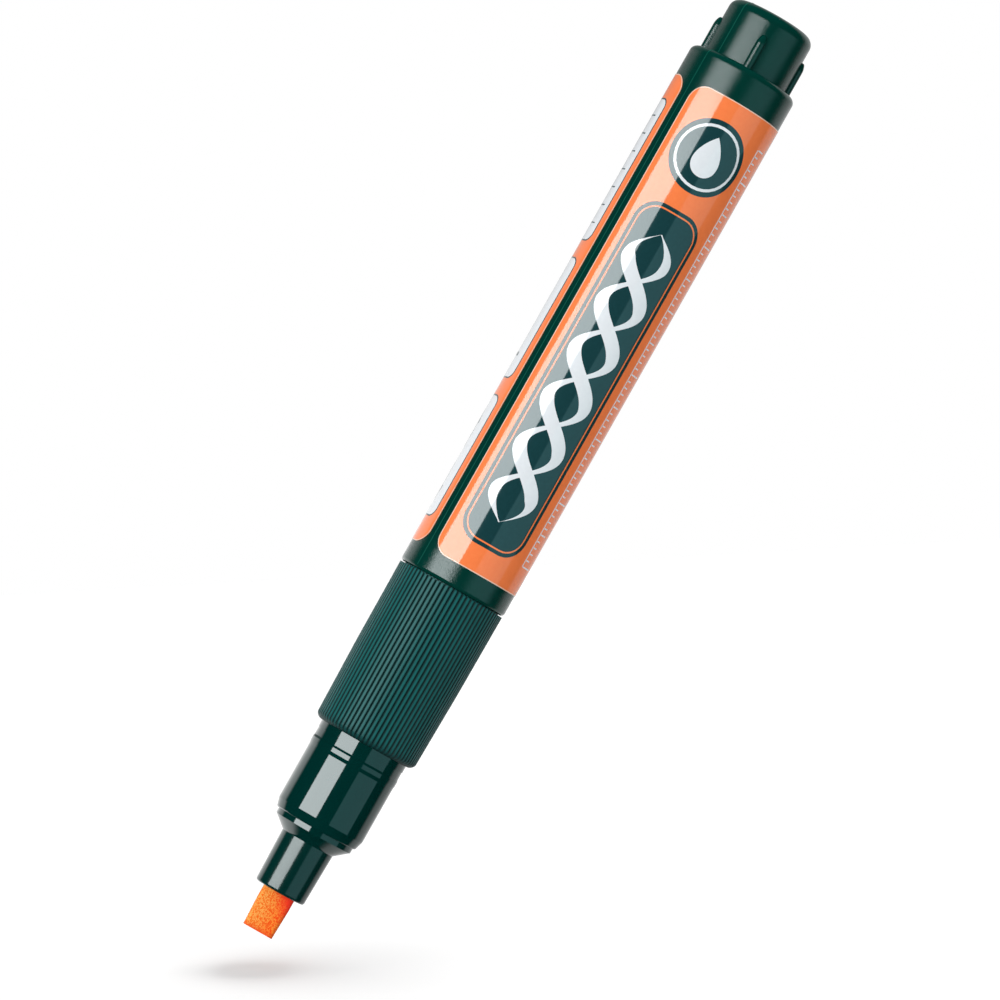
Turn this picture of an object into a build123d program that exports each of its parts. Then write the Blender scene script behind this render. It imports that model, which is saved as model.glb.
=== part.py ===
from build123d import *
from math import asin, cos, degrees, radians, sin
import os

# Liquid chalk marker, held nib down and without its cap. All lengths are in millimetres.
# The origin is on the axis, level with the writing edge. +Z runs along the axis to the tail,
# and the front of the marker, with the broad face of the nib, looks along -Y.

# Nib: a bar of pressed fibre with a chisel end
nib_length = 30.0
nib_exposed = 6.0
nib_width = 4.7
nib_tip_width = 4.4
nib_thickness = 3.2
nib_edge = 0.6
nib_taper_length = 4.2
chisel_land = 0.7
chisel_rise = 2.4
nib_travel = 2.0

# Front section, outside, from the nib to the barrel
sleeve_length = 7.75
sleeve_mouth_radius = 3.7
sleeve_root_radius = 3.88
sleeve_edge = 0.35
cone_length = 1.55
land_draft = 0.02
land_step = 0.71
land_length = 0.75
lead_step = 0.4
lead_length = 1.35
lead_edge = 0.25
nose_step = 1.51
nose_length = 8.3
bead_height = 0.08
bead_draft = 0.01
bead_length = 1.46
bead_flank = 0.52
bead_ledge = 0.32
neck_length = 1.14
neck_draft = 0.02
collar_height = 0.06
collar_draft = 0.1
collar_length = 1.0
grip_length = 24.05
grip_foot_step = 0.38
grip_middle_step = 0.14
grip_top_step = 0.06
grip_edge = 1.1
grip_rib_count = 72
grip_rib_top_share = 0.62
grip_rib_crown = 0.015
grip_groove_depth = 0.18
gap_length = 0.15
gap_depth = 0.75

# Front section, inside and behind the grip
nose_floor = 1.5
nose_wall = 1.5
spigot_length = 10.0
spigot_wall = 1.38
spigot_chamfer = 0.4
snap_height = 0.2
snap_width = 1.2
snap_place_share = 0.35
seal_section = 1.0
seal_groove_width = 1.2
seal_place_share = 0.72

# Barrel and the ribbed post at its tail, one moulding
barrel_radius = 8.0
barrel_length = 81.0
barrel_wall = 1.2
barrel_foot_edge = 0.5
barrel_shoulder_edge = 0.95
shoulder_wall = 1.4
post_step = 1.71
post_length = 8.4
post_edge = 1.45
post_wall = 1.3
post_end_wall = 1.4
post_rib_count = 4
post_rib_width = 1.36
post_rib_height = 0.66
post_rib_length = 5.0
post_rib_nose = 0.8
post_rib_cheek = 2.2
post_rib_tip = 0.72
post_rib_tip_edge = 0.35

# Printed films round the barrel
label_thickness = 0.06
label_foot_margin = 3.2
label_top_margin = 4.9
label_corner = 2.5
label_gap_angle = 13.5
parting_angle = 45.0

# Valve body and the cage that closes it; shares are of the radius inside the body
valve_recess = 5.5
valve_wall = 1.1
valve_skirt_length = 8.0
valve_cup_length = 12.4
seat_thickness = 1.6
seat_lip_height = 0.4
seat_lip_width = 0.5
cage_plug_length = 1.6
cage_flange_thickness = 1.2
hub_share = 0.61
hub_height = 1.6
hub_roof = 1.2
port_share = 0.36
port_count = 6

# Valve stem, its washer and its spring; shares are of the radius inside the body
pad_thickness = 1.2
fin_share = 0.515
fin_thickness = 0.8
washer_thickness = 0.6
washer_share = 0.78
head_thickness = 1.2
head_share = 0.815
pin_share = 0.33
pin_end_gap = 0.2
wire_diameter = 0.5
wire_side_count = 6
spring_gap = 0.6
spring_turns = 6

# Ball that stirs the ink
ball_radius = 3.0

# Fits and the overrun of cuts
press_clearance = 0.02
slide_clearance = 0.08
rest_clearance = 0.05
cut_overrun = 1.0

# Heights along the axis
mouth_z = nib_exposed
sleeve_top_z = mouth_z + sleeve_length
cone_top_z = sleeve_top_z + cone_length
land_top_z = cone_top_z + land_length
nose_foot_z = land_top_z + lead_length
bead_foot_z = nose_foot_z + nose_length
bead_top_z = bead_foot_z + bead_length
collar_foot_z = bead_top_z + neck_length
grip_foot_z = collar_foot_z + collar_length
grip_top_z = grip_foot_z + grip_length
barrel_foot_z = grip_top_z + gap_length
barrel_top_z = barrel_foot_z + barrel_length
tail_z = barrel_top_z + post_length
spigot_top_z = barrel_foot_z + spigot_length
chamber_foot_z = land_top_z + nose_floor
valve_top_z = spigot_top_z - valve_recess
plate_top_z = valve_top_z - valve_cup_length
plate_foot_z = plate_top_z - seat_thickness
valve_foot_z = plate_foot_z - valve_skirt_length
seat_z = plate_top_z + seat_lip_height
head_foot_z = seat_z + rest_clearance + washer_thickness
head_top_z = head_foot_z + head_thickness
cage_foot_z = valve_top_z - cage_plug_length
cage_top_z = valve_top_z + cage_flange_thickness
hub_top_z = cage_top_z + hub_height
guide_roof_z = hub_top_z - hub_roof
snap_z = barrel_foot_z + spigot_length * snap_place_share
seal_z = barrel_foot_z + spigot_length * seal_place_share

# Radii that follow from the barrel, a wall or a fit
nose_radius = barrel_radius - nose_step
lead_radius = nose_radius - lead_step
land_radius = nose_radius - land_step
land_foot_radius = land_radius - land_draft
grip_foot_radius = barrel_radius - grip_foot_step
grip_middle_radius = barrel_radius - grip_middle_step
grip_top_radius = barrel_radius - grip_top_step
post_radius = barrel_radius - post_step
barrel_bore = barrel_radius - barrel_wall
spigot_radius = barrel_bore - press_clearance
valve_bore = spigot_radius - spigot_wall
chamber_radius = nose_radius - nose_wall
valve_radius = valve_bore - press_clearance
cup_radius = valve_radius - valve_wall
plug_radius = cup_radius - press_clearance
hub_radius = cup_radius * hub_share
port_radius = (plug_radius - hub_radius) * port_share
fin_radius = cup_radius * fin_share
fin_hole_radius = fin_radius + slide_clearance
head_radius = cup_radius * head_share
washer_radius = cup_radius * washer_share
pin_radius = cup_radius * pin_share
guide_radius = pin_radius + slide_clearance
spring_radius = pin_radius + spring_gap + wire_diameter / 2
label_radius = barrel_radius + label_thickness


def turned(*corners):
    """Turn an outline about the axis; each corner is its radius, height and rounding."""
    spots = [(radius, 0, height) for radius, height, rounding in corners]
    roundings = [rounding for radius, height, rounding in corners]
    outline = FilletPolyline(*spots, radius=roundings, close=True)
    return revolve(make_face(outline), Axis.Z)


def washer(inner_radius, outer_radius, foot_z, top_z):
    """A ring of rectangular section."""
    return turned(
        (inner_radius, foot_z, 0),
        (outer_radius, foot_z, 0),
        (outer_radius, top_z, 0),
        (inner_radius, top_z, 0),
    )


def nib():
    """Fibre bar that narrows to a chisel, cut off aslant at the back."""
    def section(width, height):
        return Pos(0, 0, height) * RectangleRounded(width, nib_thickness, nib_edge)

    bar = loft(
        [
            section(nib_tip_width, 0),
            section(nib_width, nib_taper_length),
            section(nib_width, nib_length),
        ],
        ruled=True,
    )
    front = -nib_thickness / 2
    behind = nib_thickness / 2 + cut_overrun
    slope = chisel_rise / (nib_thickness - chisel_land)
    slant = make_face(
        Polyline(
            (0, front + chisel_land, 0),
            (0, behind, slope * (behind - front - chisel_land)),
            (0, behind, -cut_overrun),
            (0, front + chisel_land, -cut_overrun),
            close=True,
        )
    )
    return bar - extrude(slant, nib_width, both=True)


def ribbed_section(crest_radius, height):
    """Cross-section of the grip: slightly crowned ribs with narrow V grooves between them."""
    pitch = 360 / grip_rib_count
    half_top = pitch * grip_rib_top_share / 2
    brink_radius = crest_radius - grip_rib_crown
    groove_radius = crest_radius - grip_groove_depth

    def spot(radius, angle):
        return (radius * cos(radians(angle)), radius * sin(radians(angle)), height)

    outline = []
    for rib in range(grip_rib_count):
        middle = rib * pitch
        before = spot(brink_radius, middle - half_top)
        after = spot(brink_radius, middle + half_top)
        floor = spot(groove_radius, middle + pitch / 2)
        following = spot(brink_radius, middle + pitch - half_top)
        outline.append(ThreePointArc(before, spot(crest_radius, middle), after))
        outline.append(Polyline(after, floor, following))
    return make_face(outline)


def ribbed_grip():
    """Grip that swells towards the barrel, with its ribs run out over a rounded foot."""
    ribs = loft(
        [
            ribbed_section(grip_foot_radius, grip_foot_z),
            ribbed_section(grip_middle_radius, grip_foot_z + grip_length / 2),
            ribbed_section(grip_top_radius, grip_top_z),
        ],
        ruled=True,
    )
    envelope = turned(
        (0, grip_foot_z, 0),
        (grip_foot_radius, grip_foot_z, grip_edge),
        (grip_top_radius + cut_overrun, grip_top_z, 0),
        (grip_top_radius + cut_overrun, grip_top_z + cut_overrun, 0),
        (0, grip_top_z + cut_overrun, 0),
    )
    return ribs & envelope


def front_section():
    """Ribbed grip, nose, cone and nib sleeve, with the spigot that the barrel takes."""
    bead_radius = nose_radius + bead_height
    collar_radius = nose_radius + collar_height
    gap_radius = barrel_radius - gap_depth
    seal_floor_radius = barrel_bore - seal_section
    snap_radius = spigot_radius + snap_height
    skin = turned(
        (0, mouth_z, 0),
        (sleeve_mouth_radius, mouth_z, sleeve_edge),
        (sleeve_root_radius, sleeve_top_z, 0),
        (land_foot_radius, cone_top_z, 0),
        (land_radius, land_top_z, 0),
        (lead_radius, land_top_z, lead_edge),
        (nose_radius, nose_foot_z, 0),
        (nose_radius, bead_foot_z, 0),
        (bead_radius - bead_draft, bead_foot_z + bead_flank, 0),
        (bead_radius, bead_top_z - bead_ledge, 0),
        (nose_radius, bead_top_z, 0),
        (nose_radius - neck_draft, collar_foot_z, 0),
        (collar_radius, collar_foot_z, 0),
        (collar_radius + collar_draft, grip_top_z - gap_length, 0),
        (gap_radius, grip_top_z - gap_length, 0),
        (gap_radius, barrel_foot_z, 0),
        (spigot_radius, barrel_foot_z, 0),
        (spigot_radius, snap_z - snap_width / 2, 0),
        (snap_radius, snap_z - snap_width / 6, 0),
        (snap_radius, snap_z + snap_width / 6, 0),
        (spigot_radius, snap_z + snap_width / 2, 0),
        (spigot_radius, seal_z - seal_groove_width / 2, 0),
        (seal_floor_radius, seal_z - seal_groove_width / 2, 0),
        (seal_floor_radius, seal_z + seal_groove_width / 2, 0),
        (spigot_radius, seal_z + seal_groove_width / 2, 0),
        (spigot_radius, spigot_top_z - spigot_chamfer, 0),
        (spigot_radius - spigot_chamfer, spigot_top_z, 0),
        (0, spigot_top_z, 0),
    )
    hollow = turned(
        (0, chamber_foot_z, 0),
        (chamber_radius, chamber_foot_z, 0),
        (chamber_radius, valve_foot_z, 0),
        (valve_bore, valve_foot_z, 0),
        (valve_bore, spigot_top_z + cut_overrun, 0),
        (0, spigot_top_z + cut_overrun, 0),
    )
    slot_depth = chamber_foot_z - mouth_z + 2 * cut_overrun
    slot_outline = RectangleRounded(
        nib_width + 2 * slide_clearance, nib_thickness + 2 * slide_clearance, nib_edge
    )
    slot = Pos(0, 0, mouth_z - cut_overrun) * extrude(slot_outline, slot_depth)
    return skin + ribbed_grip() - hollow - slot


def barrel_seal():
    """Square rubber ring between the floor of its groove and the barrel."""
    return washer(
        barrel_bore - seal_section + press_clearance,
        barrel_bore - press_clearance,
        seal_z - seal_section / 2,
        seal_z + seal_section / 2,
    )


def post_rib():
    """One rib of the tail post: a round-backed bar with a rounded nose."""
    back_radius = post_rib_width / 2
    root_z = barrel_top_z - shoulder_wall / 2
    end_z = barrel_top_z + post_rib_length
    bar = turned(
        (0, root_z, 0),
        (back_radius, root_z, 0),
        (back_radius, end_z - post_rib_nose, post_rib_cheek),
        (post_rib_tip / 2, end_z, post_rib_tip_edge),
        (0, end_z, 0),
    )
    return Pos(post_radius + post_rib_height - back_radius, 0, 0) * bar


def barrel():
    """Long tube, open at the grip, closed by the shoulder and the ribbed tail post."""
    body = Rot(0, 0, parting_angle) * turned(
        (0, barrel_foot_z, 0),
        (barrel_radius, barrel_foot_z, barrel_foot_edge),
        (barrel_radius, barrel_top_z, barrel_shoulder_edge),
        (post_radius, barrel_top_z, 0),
        (post_radius, tail_z, post_edge),
        (0, tail_z, 0),
    )
    for rib in range(post_rib_count):
        body += Rot(0, 0, rib * 360 / post_rib_count) * post_rib()
    snap_bore = barrel_bore + snap_height
    post_bore = post_radius - post_wall
    roof_z = barrel_top_z - shoulder_wall
    hollow = turned(
        (0, barrel_foot_z - cut_overrun, 0),
        (barrel_bore, barrel_foot_z - cut_overrun, 0),
        (barrel_bore, snap_z - snap_width / 2, 0),
        (snap_bore, snap_z - snap_width / 6, 0),
        (snap_bore, snap_z + snap_width / 6, 0),
        (barrel_bore, snap_z + snap_width / 2, 0),
        (barrel_bore, roof_z - barrel_shoulder_edge, 0),
        (barrel_bore - barrel_shoulder_edge, roof_z, 0),
        (post_bore, roof_z, 0),
        (post_bore, tail_z - post_end_wall, 0),
        (0, tail_z - post_end_wall, 0),
    )
    return body - hollow


def band(inner_radius, outer_radius, low_z, high_z, start_angle, stop_angle):
    """A piece of tube wall between two heights and two angles about the axis."""
    strip = make_face(
        Polyline(
            (inner_radius, 0, low_z),
            (outer_radius, 0, low_z),
            (outer_radius, 0, high_z),
            (inner_radius, 0, high_z),
            close=True,
        )
    )
    return Rot(0, 0, start_angle) * revolve(strip, Axis.Z, stop_angle - start_angle)


def label(middle_angle):
    """Printed film round nearly half of the barrel, with round corners."""
    foot_z = barrel_foot_z + label_foot_margin
    top_z = barrel_top_z - label_top_margin
    half_angle = 90 - label_gap_angle / 2
    corner_angle = degrees(asin(label_corner / label_radius))
    film = band(barrel_radius, label_radius, foot_z, top_z, -half_angle, half_angle)
    rod = Rot(0, 90, 0) * extrude(Circle(label_corner), 2 * label_radius)
    inner_radius = barrel_radius - cut_overrun
    outer_radius = label_radius + cut_overrun
    round_angle = half_angle - corner_angle
    past_angle = half_angle + corner_angle
    for start_angle, stop_angle, middle in (
        (-past_angle, -round_angle, -round_angle),
        (round_angle, past_angle, round_angle),
    ):
        for low_z, high_z, round_z in (
            (foot_z - cut_overrun, foot_z + label_corner, foot_z + label_corner),
            (top_z - label_corner, top_z + cut_overrun, top_z - label_corner),
        ):
            block = band(inner_radius, outer_radius, low_z, high_z, start_angle, stop_angle)
            film -= block - Pos(0, 0, round_z) * Rot(0, 0, middle) * rod
    return Rot(0, 0, middle_angle) * film


def valve_body():
    """Cup with the valve's seat, on a skirt that stands on the shoulder in the grip."""
    lip_radius = fin_hole_radius + seat_lip_width / 2
    return turned(
        (cup_radius, valve_foot_z, 0),
        (valve_radius, valve_foot_z, 0),
        (valve_radius, valve_top_z, 0),
        (cup_radius, valve_top_z, 0),
        (cup_radius, plate_top_z, 0),
        (lip_radius + seat_lip_width, plate_top_z, 0),
        (lip_radius + seat_lip_width, seat_z, 0),
        (lip_radius, seat_z, 0),
        (lip_radius, plate_top_z, 0),
        (fin_hole_radius, plate_top_z, 0),
        (fin_hole_radius, plate_foot_z, 0),
        (cup_radius, plate_foot_z, 0),
    )


def valve_stem():
    """Plunger: a pad on the nib, crossed fins through the seat, the head and its pin."""
    pad_top_z = nib_length + pad_thickness
    pin_top_z = guide_roof_z - nib_travel - pin_end_gap
    pin_chamfer = pin_radius / 3
    stem = turned(
        (0, nib_length, 0),
        (fin_radius, nib_length, 0),
        (fin_radius, pad_top_z, 0),
        (0, pad_top_z, 0),
    )
    stem += turned(
        (0, seat_z, 0),
        (fin_radius, seat_z, 0),
        (fin_radius, head_foot_z, 0),
        (head_radius, head_foot_z, 0),
        (head_radius, head_top_z, 0),
        (pin_radius, head_top_z, 0),
        (pin_radius, pin_top_z - pin_chamfer, 0),
        (pin_radius - pin_chamfer, pin_top_z, 0),
        (0, pin_top_z, 0),
    )
    for angle in (0, 90):
        fin = Rectangle(2 * fin_radius, fin_thickness)
        blade = Pos(0, 0, pad_top_z) * Rot(0, 0, angle) * extrude(fin, seat_z - pad_top_z)
        stem += blade & Cylinder(fin_radius, 2 * seat_z)
    return stem


def valve_seal():
    """Rubber washer on the boss under the head; it closes on the lip of the seat."""
    return washer(fin_radius, washer_radius, head_foot_z - washer_thickness, head_foot_z)


def valve_spring():
    """Compression spring between the head of the stem and the cage.

    Each quarter turn is one arc, and the arcs share their slope where they meet. The wire
    is drawn with a few flat sides, because the spring is small and out of sight.
    """
    wire_radius = wire_diameter / 2
    foot_z = head_top_z + wire_radius
    quarter_count = 4 * spring_turns
    rise = (cage_foot_z - wire_radius - foot_z) / quarter_count
    quarter = TangentArc(
        (spring_radius, 0, foot_z),
        (0, spring_radius, foot_z + rise),
        tangent=(0, spring_radius, rise / 2),
    )
    arcs = []
    for step in range(quarter_count):
        arcs.append(Pos(0, 0, rise * step) * Rot(0, 0, 90 * step) * quarter)
    turns = Wire(arcs)
    section = Plane(origin=turns @ 0, z_dir=turns % 0) * RegularPolygon(wire_radius, wire_side_count)
    return sweep(section, path=turns)


def spring_cage():
    """Ported cap of the valve body, with a hub that guides the pin of the stem."""
    cap = turned(
        (guide_radius, cage_foot_z, 0),
        (plug_radius, cage_foot_z, 0),
        (plug_radius, valve_top_z, 0),
        (valve_radius, valve_top_z, 0),
        (valve_radius, cage_top_z, 0),
        (hub_radius, cage_top_z, 0),
        (hub_radius, hub_top_z, 0),
        (0, hub_top_z, 0),
        (0, guide_roof_z, 0),
        (guide_radius, guide_roof_z, 0),
    )
    port_circle = (hub_radius + plug_radius) / 2
    port_height = cage_flange_thickness + cage_plug_length + 2 * cut_overrun
    port = extrude(Circle(port_radius), port_height)
    for place in PolarLocations(port_circle, port_count):
        cap -= Pos(0, 0, cage_foot_z - cut_overrun) * place * port
    return cap


def mixing_ball():
    """Loose steel ball, at rest on the hub of the cage."""
    return Pos(0, 0, hub_top_z + rest_clearance + ball_radius) * Sphere(ball_radius)


front_label_angle = -parting_angle
pieces = {
    "barrel": barrel(),
    "front_section": front_section(),
    "barrel_seal": barrel_seal(),
    "nib": nib(),
    "valve_body": valve_body(),
    "valve_stem": valve_stem(),
    "valve_seal": valve_seal(),
    "valve_spring": valve_spring(),
    "spring_cage": spring_cage(),
    "mixing_ball": mixing_ball(),
    "front_label": label(front_label_angle),
    "rear_label": label(front_label_angle + 180),
}
os.makedirs("parts", exist_ok=True)
for name, piece in pieces.items():
    export_step(piece, f"parts/{name}.step")
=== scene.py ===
# %% [markdown]
# # A liquid chalk marker in the studio
#
# The solids of the marker are already there, at their real size, with the nib pointing down and
# the axis along Z. This lesson gives them their finishes, adds what is too thin for solids (the
# print on the films and the fine line that the mould leaves) and sets up the lights and the camera
# for a photograph of the marker.

# %% The imported model
from math import atan2, cos, pi, radians, sin

import bmesh
import bpy
from mathutils import Matrix, Vector


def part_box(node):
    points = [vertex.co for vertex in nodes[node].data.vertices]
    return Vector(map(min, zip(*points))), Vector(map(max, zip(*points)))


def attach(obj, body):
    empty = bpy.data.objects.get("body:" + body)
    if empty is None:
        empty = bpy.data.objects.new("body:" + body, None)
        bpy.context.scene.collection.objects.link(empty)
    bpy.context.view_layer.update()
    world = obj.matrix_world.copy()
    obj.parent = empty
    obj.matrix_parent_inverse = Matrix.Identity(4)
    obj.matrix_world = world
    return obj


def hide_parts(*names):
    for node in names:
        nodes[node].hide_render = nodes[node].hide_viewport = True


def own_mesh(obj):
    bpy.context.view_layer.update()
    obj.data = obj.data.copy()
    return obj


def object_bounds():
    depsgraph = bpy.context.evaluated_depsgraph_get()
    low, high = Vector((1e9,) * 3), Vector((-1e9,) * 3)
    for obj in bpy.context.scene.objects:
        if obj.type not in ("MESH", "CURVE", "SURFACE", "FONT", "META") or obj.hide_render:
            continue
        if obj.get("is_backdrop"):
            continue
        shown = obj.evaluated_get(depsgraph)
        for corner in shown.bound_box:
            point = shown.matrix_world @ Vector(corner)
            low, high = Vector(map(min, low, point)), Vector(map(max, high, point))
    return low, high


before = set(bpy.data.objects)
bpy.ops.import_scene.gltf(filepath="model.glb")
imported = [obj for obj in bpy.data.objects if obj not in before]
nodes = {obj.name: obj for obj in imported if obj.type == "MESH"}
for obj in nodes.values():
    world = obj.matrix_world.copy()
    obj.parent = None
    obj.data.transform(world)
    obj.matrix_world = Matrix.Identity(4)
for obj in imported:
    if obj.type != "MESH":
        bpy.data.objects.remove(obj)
cad_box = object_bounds()
print("nodes:", ", ".join(sorted(nodes)))

# %% [markdown]
# ## Measures
#
# Blender works in metres here, and a maker thinks of a pen in millimetres, so one name holds the
# step between them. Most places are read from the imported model. A few, such as where the shoulder
# lies, are inside one node and are written down again.

# %% Measures
MM = 0.001
post_length = 8.4 * MM
post_radius = 6.29 * MM
seam_angle = radians(-45)
film_gap = radians(13.5)
body = "marker"
barrel_low, barrel_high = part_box("barrel")
film_low, film_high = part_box("front_label")
barrel_radius = barrel_high.x
film_radius = film_high.x
barrel_foot = barrel_low.z
tail = barrel_high.z
shoulder = tail - post_length


def around(angle, radius, height):
    """A place on the marker: the angle runs from the front (-Y) towards the right (+X)."""
    return Vector((radius * sin(angle), -radius * cos(angle), height))


print(f"barrel {2 * barrel_radius / MM:.2f} mm across, {tail / MM:.1f} mm from nib to tail")

# %% [markdown]
# ## Nodes in one line
#
# Materials are built from nodes. One small function adds a node, sets its own options and fills
# its sockets, either with a value or with a link from another node. Colours are picked on a
# screen, which is sRGB, while the renderer counts in linear light, so one more function turns
# the hex value of a colour into linear numbers.

# %% Helpers for materials
def add(tree, kind, sockets=None, **options):
    """Add a node; a socket takes a value or the output of another node."""
    node = tree.nodes.new(kind)
    for name, value in options.items():
        setattr(node, name, value)
    for name, value in (sockets or {}).items():
        if isinstance(value, bpy.types.NodeSocket):
            tree.links.new(value, node.inputs[name])
        else:
            node.inputs[name].default_value = value
    return node


def linear(hex_colour):
    """The linear colour, with alpha, of an sRGB value such as 05403A."""
    channels = [int(hex_colour[i:i + 2], 16) / 255 for i in (0, 2, 4)]
    return [c / 12.92 if c <= 0.04045 else ((c + 0.055) / 1.055) ** 2.4 for c in channels] + [1]


def surface(name, **constants):
    """A new material with one Principled shader, whose constant sockets are set here."""
    material = bpy.data.materials.new(name)
    material.use_nodes = True
    tree = material.node_tree
    shader = tree.nodes["Principled BSDF"]
    for socket, value in constants.items():
        shader.inputs[socket.replace("_", " ")].default_value = value
    return material, tree, shader


def dress(piece, material):
    """Give a piece one material in its only slot."""
    piece.data.materials.clear()
    piece.data.materials.append(material)


print("middle grey 808080 is", round(linear("808080")[0], 3), "in linear light")

# %% [markdown]
# ## Moulded polypropylene of the barrel
#
# The barrel is injection-moulded polypropylene, dyed in the mass. The mould's wall carries a very
# fine grain, and the plastic copies it: each grain leans its own way, so a reflection keeps its
# place and gets soft edges. The grain is a bump finer than a pixel, over a surface that is smooth
# in itself. Faint clouds in the dye and in the gloss keep it from looking like a flat colour.

# %% Barrel material
def moulded_polypropylene():
    """Dark green plastic with a soft-edged gloss."""
    material, tree, shader = surface("moulded_polypropylene_dark_green", IOR=1.46)
    place = add(tree, "ShaderNodeTexCoord").outputs["Object"]
    cloud_size = 6 * MM
    clouds = add(tree, "ShaderNodeTexNoise", {"Vector": place, "Scale": 1 / cloud_size, "Detail": 3})
    dye = add(
        tree, "ShaderNodeMix",
        {0: clouds.outputs["Fac"], "A": linear("013029"), "B": linear("02372F")},
        data_type="RGBA",
    )
    gloss = add(
        tree, "ShaderNodeMapRange",
        {"Value": clouds.outputs["Fac"], "To Min": 0.1, "To Max": 0.15},
    )
    grain_size = 0.12 * MM
    grain = add(tree, "ShaderNodeTexNoise", {"Vector": place, "Scale": 1 / grain_size, "Detail": 1})
    bump = add(
        tree, "ShaderNodeBump",
        {"Height": grain.outputs["Fac"], "Strength": 1.0, "Distance": 0.02 * MM},
    )
    tree.links.new(dye.outputs["Result"], shader.inputs["Base Color"])
    tree.links.new(gloss.outputs["Result"], shader.inputs["Roughness"])
    tree.links.new(bump.outputs["Normal"], shader.inputs["Normal"])
    return material


dress(nodes["barrel"], moulded_polypropylene())
print("barrel:", nodes["barrel"].data.materials[0].name)

# %% [markdown]
# ## Polished nose and satin sleeve
#
# The front section is one moulding with three finishes. The nose comes from a mirror-polished part
# of the mould and reflects sharply. The sleeve around the nib is satin, because its part was only
# stoned. The height along the axis tells these two apart in one material, and the changeover lies
# on an edge of the solid, where nobody sees it.

# %% Nose and sleeve material
sleeve_top = 13.75 * MM
changeover = 0.1 * MM


def polished_polypropylene():
    """Satin on the sleeve, mirror gloss on the nose."""
    material, tree, shader = surface("moulded_polypropylene_polished", IOR=1.53)
    place = add(tree, "ShaderNodeTexCoord").outputs["Object"]
    height = add(tree, "ShaderNodeSeparateXYZ", {"Vector": place}).outputs["Z"]
    on_nose = add(
        tree, "ShaderNodeMapRange",
        {"Value": height, "From Min": sleeve_top - changeover, "From Max": sleeve_top + changeover},
    )
    cloud_size = 4 * MM
    clouds = add(tree, "ShaderNodeTexNoise", {"Vector": place, "Scale": 1 / cloud_size, "Detail": 3})
    dye = add(
        tree, "ShaderNodeMix",
        {0: clouds.outputs["Fac"], "A": linear("002926"), "B": linear("012D29")},
        data_type="RGBA",
    )
    mirror_gloss = add(
        tree, "ShaderNodeMapRange",
        {"Value": clouds.outputs["Fac"], "To Min": 0.05, "To Max": 0.08},
    )
    gloss = add(
        tree, "ShaderNodeMix",
        {0: on_nose.outputs["Result"], "A": 0.15, "B": mirror_gloss.outputs["Result"]},
    )
    tree.links.new(dye.outputs["Result"], shader.inputs["Base Color"])
    tree.links.new(gloss.outputs["Result"], shader.inputs["Roughness"])
    return material


front = nodes["front_section"]
dress(front, polished_polypropylene())
print("polished from the sleeve up, satin below", round(sleeve_top / MM, 2), "mm")

# %% [markdown]
# ## Painted sheen on the ribs
#
# The crests of the grip's ribs are painted paler, a painted highlight, while the grooves and the
# rounded foot keep a darker colour, which is painted shade. A mask could be painted by hand, but
# the ribs are regular: the angle around the axis, counted in ribs, says how far a point lies from
# the nearest crest, and the height says how far it is above the foot.

# %% Where the grip gets its painted sheen
rib_count = 72
grip_foot = 29.3 * MM
foot_fade = 1.6 * MM


def crest_sheen_mask(tree, place):
    """How much painted highlight a point of the grip gets: most on a crest, none in a groove."""
    spot = add(tree, "ShaderNodeSeparateXYZ", {"Vector": place}).outputs
    angle = add(tree, "ShaderNodeMath", {0: spot["Y"], 1: spot["X"]}, operation="ARCTAN2")
    ribs = add(
        tree, "ShaderNodeMath", {0: angle.outputs[0], 1: rib_count / (2 * pi)},
        operation="MULTIPLY",
    )
    from_crest = add(tree, "ShaderNodeMath", {0: ribs.outputs[0], 1: 0.5}, operation="PINGPONG")
    on_crest = add(
        tree, "ShaderNodeMapRange",
        {"Value": from_crest.outputs[0], "From Min": 0.1, "From Max": 0.36, "To Min": 1, "To Max": 0},
        interpolation_type="SMOOTHSTEP",
    )
    above_foot = add(
        tree, "ShaderNodeMapRange",
        {"Value": spot["Z"], "From Min": grip_foot, "From Max": grip_foot + foot_fade, "To Min": 0.15},
    )
    crest_sheen = add(
        tree, "ShaderNodeMath", {0: on_crest.outputs["Result"], 1: above_foot.outputs["Result"]},
        operation="MULTIPLY",
    )
    return crest_sheen.outputs[0]


print(f"a rib every {360 / rib_count:.0f} degrees")

# %% [markdown]
# ## Etched grip
#
# The grip's part of the mould was etched, so that wet fingers hold it, and its gloss is broken
# into a dull sheen. The grip is a part of the same solid as the nose, so the node gets a second
# material slot, and each face takes the slot that its height asks for.

# %% Grip material
height_slack = 0.01 * MM


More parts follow.
